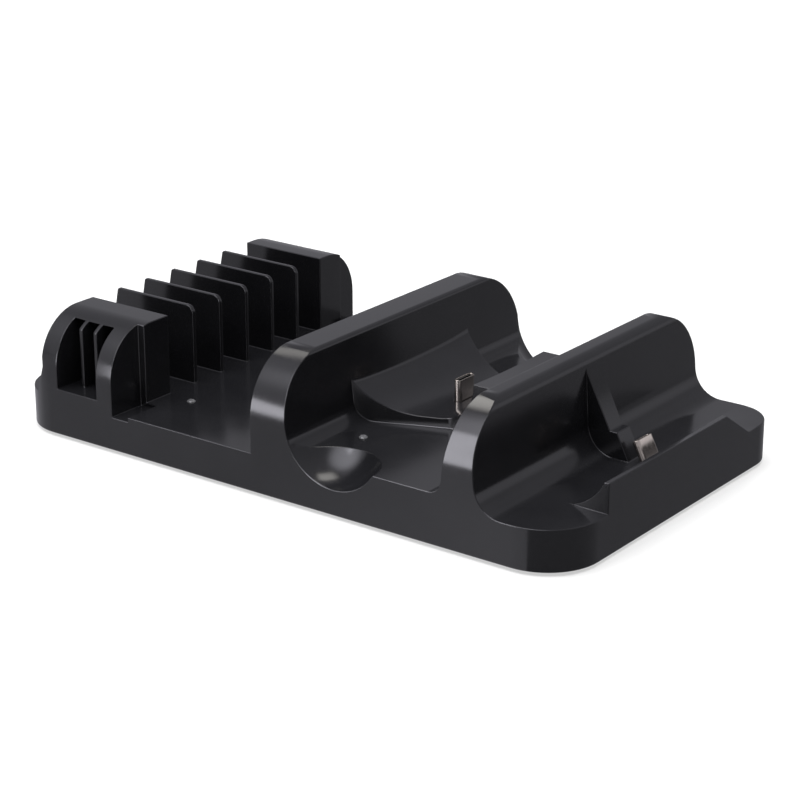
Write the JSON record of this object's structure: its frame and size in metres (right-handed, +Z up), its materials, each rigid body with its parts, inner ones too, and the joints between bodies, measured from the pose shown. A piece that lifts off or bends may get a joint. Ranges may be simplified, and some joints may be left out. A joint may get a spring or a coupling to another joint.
{
  "type": "controller charging dock",
  "caption": "Low black desktop dock that charges game controllers on upright plugs, with a ribbed rack for game cases and slots for game cards.",
  "frame": {"origin": "middle of the footprint, on the surface that the rubber feet stand on", "axes": "+X along the long front face to the right, from the case rack to the cradles; +Y to the back; +Z up"},
  "size_m": [0.2046, 0.1188, 0.0421],
  "materials": {
    "housing": "semi-gloss black moulding",
    "cover": "fine matt texture",
    "plug_steel": "bright warm steel",
    "insulator": "matt",
    "boot": "satin",
    "board": "green solder mask",
    "chip": "matt",
    "lamp": "pale yellow",
    "light_pipe": "clear moulding",
    "screw_steel": "zinc plate",
    "header": "off-white",
    "lead": "matt sheath",
    "foot": "matt rubber"
  },
  "bodies": {
    "root": {"top_housing": "housing", "bottom_cover": "cover", "first_plug_shell": "plug_steel", "first_plug_insulator": "insulator", "first_plug_boot": "boot", "second_plug_shell": "plug_steel", "second_plug_insulator": "insulator", "second_plug_boot": "boot", "first_plug_board": "board", "second_plug_board": "board", "plug_board_screws": "screw_steel", "main_board": "board", "input_board": "board", "board_screws": "screw_steel", "charge_chips": "chip", "indicator_leds": "lamp", "tray_light_pipe": "light_pipe", "cradle_light_pipe": "light_pipe", "input_socket_shell": "plug_steel", "input_socket_tongue": "insulator", "wire_headers": "header", "input_lead": "lead", "first_plug_lead": "lead", "second_plug_lead": "lead", "foot_front_left": "foot", "foot_front_right": "foot", "foot_back_left": "foot", "foot_back_right": "foot", "cover_screws": "screw_steel"}
  },
  "joints": []
}
